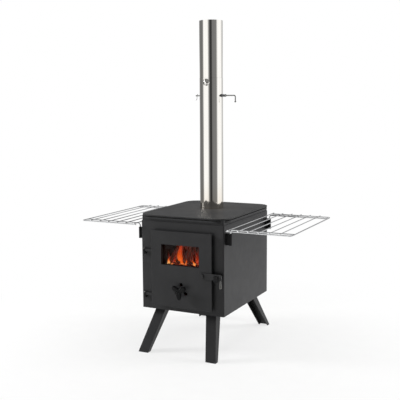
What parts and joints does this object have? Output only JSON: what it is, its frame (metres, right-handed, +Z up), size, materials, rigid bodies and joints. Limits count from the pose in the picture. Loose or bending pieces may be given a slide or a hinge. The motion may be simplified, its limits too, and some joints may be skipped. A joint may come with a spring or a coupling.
{
  "type": "garden stove",
  "caption": "Box-shaped outdoor wood stove on splayed legs with a glazed hinged door, hob top, tall flue with damper and lift-off wire side racks.",
  "frame": {"origin": "on the ground under the middle of the fire box", "axes": "+X to the viewer's right seen from the door, +Y to the back, +Z up along the flue"},
  "size_m": [0.951, 0.59, 1.3703],
  "materials": {
    "black_steel": "satin black heat-resistant paint on folded sheet steel",
    "polished_flue": "polished stainless tube",
    "inner_stainless": "stainless sheet darkened by smoke",
    "bright_steel": "bright zinc-plated steel",
    "rack_chrome": "chromed welded wire",
    "grate_iron": "bare cast iron",
    "raw_steel": "heat-darkened sheet steel",
    "ceramic_glass": "clear fire-proof glass",
    "seal_fibre": "braided glass-fibre rope and tape",
    "knob_plastic": "moulded black thermoset"
  },
  "bodies": {
    "stove": {"side_wrap": "black_steel", "front_panel": "black_steel", "base_plate": "black_steel", "hob_plate": "black_steel", "hob_rim": "black_steel", "box_hinge_lugs": "black_steel", "latch_keeper": "black_steel", "left_front_socket": "black_steel", "left_rear_socket": "black_steel", "right_front_socket": "black_steel", "right_rear_socket": "black_steel", "front_left_leg": "black_steel", "rear_left_leg": "black_steel", "front_right_leg": "black_steel", "rear_right_leg": "black_steel", "lower_flue": "polished_flue", "upper_flue": "polished_flue", "flue_lock_screw": "polished_flue", "flue_spigot": "inner_stainless", "flue_sleeve": "inner_stainless", "flue_lock_nut": "bright_steel", "hinge_pins": "bright_steel", "leg_bolts": "bright_steel", "leg_nuts": "bright_steel", "fire_grate": "grate_iron", "grate_ledges": "raw_steel", "baffle_plate": "raw_steel", "baffle_ledges": "raw_steel", "ash_pan": "raw_steel"},
    "door": {"door_skin": "black_steel", "glass_gasket": "seal_fibre", "door_glass": "ceramic_glass", "glass_retainer": "raw_steel", "retainer_screws": "bright_steel", "door_seal": "seal_fibre", "seal_channel": "raw_steel", "door_hinge_straps": "black_steel", "latch_bolt": "black_steel", "latch_nut": "bright_steel"},
    "latch": {"latch_bar": "black_steel", "latch_handle": "bright_steel", "latch_washer": "bright_steel"},
    "air_control": {"air_knob": "knob_plastic", "air_spindle": "bright_steel", "air_rotor": "bright_steel", "air_nut": "bright_steel"},
    "damper": {"damper_spindle": "bright_steel", "damper_plate": "inner_stainless", "damper_screws": "bright_steel", "damper_ball": "bright_steel", "damper_washer": "bright_steel", "damper_clip": "bright_steel", "damper_spring": "bright_steel"},
    "rack_left": {"left_rack_grid": "rack_chrome", "left_rack_rods": "rack_chrome"},
    "rack_right": {"right_rack_grid": "rack_chrome", "right_rack_rods": "rack_chrome"}
  },
  "joints": [
    {"name": "door_swing", "type": "hinge", "parent": "stove", "child": "door", "pos_m": [-0.172, -0.245, 0.353], "axis": [0, 0, -1], "range_deg": [0, 110]},
    {"name": "latch_lift", "type": "hinge", "parent": "door", "child": "latch", "pos_m": [0.103, -0.258, 0.34], "axis": [0, -1, 0], "range_deg": [0, 35]},
    {"name": "air_turn", "type": "hinge", "parent": "door", "child": "air_control", "pos_m": [0.005, -0.261, 0.27], "axis": [0, -1, 0], "range_deg": [0, 60]},
    {"name": "damper_turn", "type": "hinge", "parent": "stove", "child": "damper", "pos_m": [0, 0.05, 1.056], "axis": [-1, 0, 0], "range_deg": [0, 90]},
    {"name": "rack_left_lift", "type": "slide", "parent": "stove", "child": "rack_left", "axis": [0, 0, 1], "range_m": [0, 0.09]},
    {"name": "rack_right_lift", "type": "slide", "parent": "stove", "child": "rack_right", "axis": [0, 0, 1], "range_m": [0, 0.09]}
  ]
}
